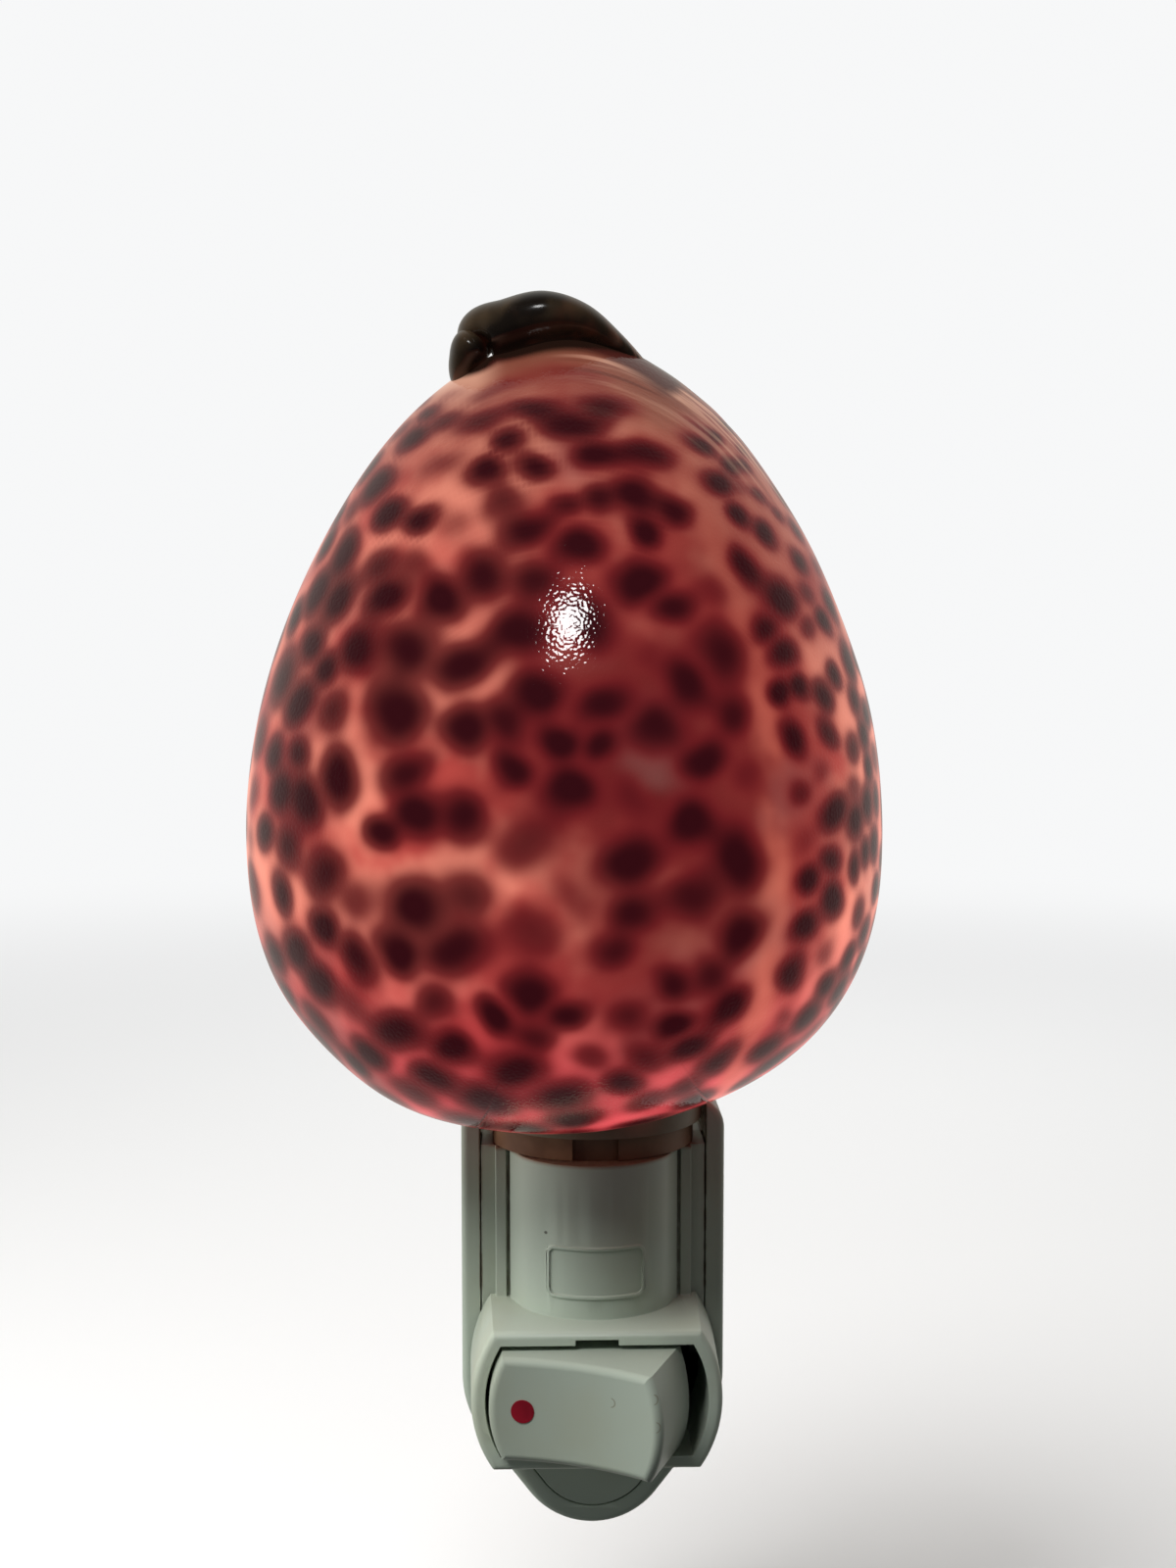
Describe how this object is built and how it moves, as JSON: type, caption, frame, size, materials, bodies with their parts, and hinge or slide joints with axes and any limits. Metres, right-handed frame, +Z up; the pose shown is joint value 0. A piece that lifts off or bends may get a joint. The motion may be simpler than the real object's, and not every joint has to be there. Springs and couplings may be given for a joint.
{
  "type": "plug-in night light",
  "caption": "Plug-in night light with a spotted seashell shade over a screw-in bulb, and a side-to-side rocker switch",
  "frame": {"origin": "on the flat plug back face, midway between the two blades", "axes": "+X to the right seen from the front, +Y into the wall along the blades, +Z up"},
  "size_m": [0.0696, 0.068, 0.137],
  "materials": {
    "ivory_plastic": "satin, slightly yellowed",
    "rocker_plastic": "satin",
    "red_inlay": "gloss",
    "dark_phenolic": "matte moulded",
    "pale_ring": "satin",
    "brass": "stamped, slightly tarnished",
    "nickel_blade": "brushed nickel plate",
    "silver_contact": "bright",
    "steel": "zinc plate",
    "tungsten": "glowing",
    "bulb_brass": "rolled",
    "solder": "dull",
    "black_glass": "gloss",
    "clear_glass": "clear",
    "cowrie_shell": "polished natural shell, spotted",
    "cement": "dried glue"
  },
  "bodies": {
    "base": {"rear_housing": "ivory_plastic", "front_housing": "ivory_plastic", "housing_screw": "steel", "hot_blade": "nickel_blade", "neutral_blade": "nickel_blade", "blade_rivets": "brass", "hot_strip": "brass", "neutral_strip": "brass", "fixed_contact": "silver_contact", "pivot_bracket": "brass", "centre_contact": "brass", "socket_insulator": "dark_phenolic", "socket_shell": "brass", "rocker_pin": "steel"},
    "rocker": {"rocker": "rocker_plastic", "rocker_dot": "red_inlay", "plunger": "dark_phenolic", "plunger_spring": "steel"},
    "lever": {"contact_lever": "brass", "lever_contact": "silver_contact"},
    "bulb_tip": {"bulb_tip_contact": "solder"},
    "bulb": {"bulb_cap": "bulb_brass", "bulb_insulator": "black_glass", "bulb_glass": "clear_glass", "bulb_stem": "clear_glass", "lead_wires": "steel", "filament": "tungsten"},
    "shade": {"shell_shade": "cowrie_shell", "shade_collar": "pale_ring", "shade_clip": "brass", "glue_bead": "cement"}
  },
  "joints": [
    {"name": "rocker_tilt", "type": "hinge", "parent": "base", "child": "rocker", "pos_m": [0, -0.0265, -0.01205], "axis": [0, 0, 1], "range_deg": [0, 21]},
    {"name": "lever_tilt", "type": "hinge", "parent": "base", "child": "lever", "pos_m": [0, -0.0174, -0.01205], "axis": [0, 0, 1], "range_deg": [-12.2, 0.2]},
    {"name": "bulb_rise", "type": "slide", "parent": "base", "child": "bulb_tip", "axis": [0, 0, 1], "range_m": [0, 0.00762]},
    {"name": "bulb_turn", "type": "hinge", "parent": "bulb_tip", "child": "bulb", "pos_m": [0, -0.016, 0.01], "axis": [0, 0, 1], "range_deg": [0, 1085]},
    {"name": "shade_lift", "type": "slide", "parent": "base", "child": "shade", "axis": [0, 0, 1], "range_m": [0, 0.045]}
  ],
  "couplings": [
    {"joint": "lever_tilt", "follows": "rocker_tilt", "ratio": -0.5714},
    {"joint": "bulb_turn", "follows": "bulb_rise", "rad_per_m": 2473.7}
  ]
}
